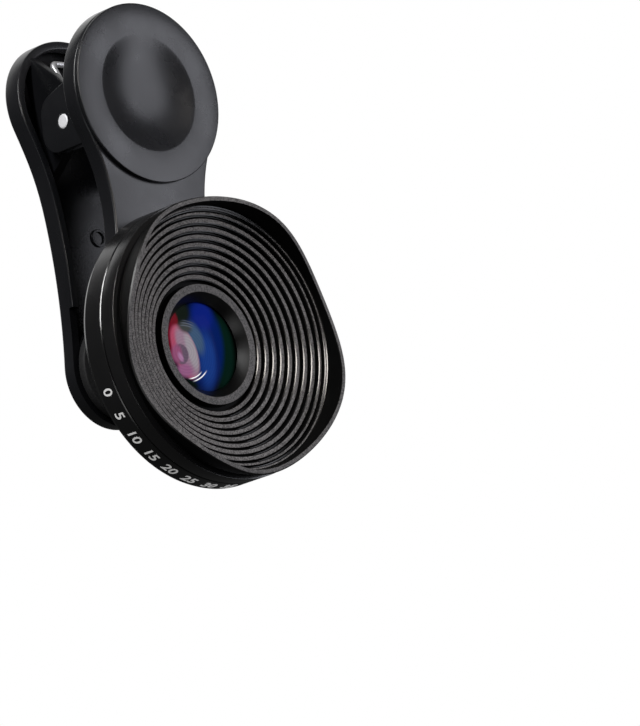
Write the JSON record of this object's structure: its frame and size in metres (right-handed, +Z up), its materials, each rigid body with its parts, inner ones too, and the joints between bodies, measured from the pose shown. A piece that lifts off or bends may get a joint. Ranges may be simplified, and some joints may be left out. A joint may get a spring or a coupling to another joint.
{
  "type": "clip-on phone lens",
  "caption": "Macro lens with a ribbed petal hood, screwed into a sprung two-arm clip that grips a phone over its camera.",
  "frame": {"origin": "where the lens axis crosses the face of the front jaw pad, the plane that the phone lies against", "axes": "+Y from the lens to the rear jaw, so the lens looks along -Y; +Z up the arms to the finger ends; +X across the clip, along the hinge pin"},
  "size_m": [0.038, 0.0305, 0.0678],
  "materials": {
    "clip_plastic": "fine matte, mid grey where light falls flat on it",
    "hood_plastic": "satin, with frosted treads",
    "rubber": "soft matte",
    "steel": "bright drawn steel",
    "black_metal": "black anodised, satin",
    "coated_glass": "polished, with a blue and magenta coating"
  },
  "bodies": {
    "front_clip": {"front_arm": "clip_plastic", "front_finger_cap": "clip_plastic", "front_jaw_pad": "rubber", "hinge_pin": "steel", "torsion_spring": "steel"},
    "rear_clip": {"rear_arm": "clip_plastic", "rear_jaw_pad": "rubber"},
    "lens": {"lens_mount": "black_metal", "rear_barrel": "black_metal", "barrel_spacer": "black_metal", "front_barrel": "black_metal", "petal_hood": "hood_plastic", "lens_cell": "black_metal", "front_bezel": "black_metal", "front_glass": "coated_glass", "front_spacer": "black_metal", "middle_glass": "coated_glass", "rear_spacer": "black_metal", "rear_glass": "coated_glass", "rear_retaining_ring": "black_metal"}
  },
  "joints": [
    {"name": "jaw_hinge", "type": "hinge", "parent": "front_clip", "child": "rear_clip", "pos_m": [0, 0.0039, 0.0338], "axis": [1, 0, 0], "range_deg": [-11, 42], "stiffness_Nm_per_rad": 0.1, "springref_deg": -91.67, "deforming": ["torsion_spring"]},
    {"name": "lens_unscrew", "type": "slide", "parent": "front_clip", "child": "lens", "axis": [0, -1, 0], "range_m": [0, 0.02]}
  ]
}
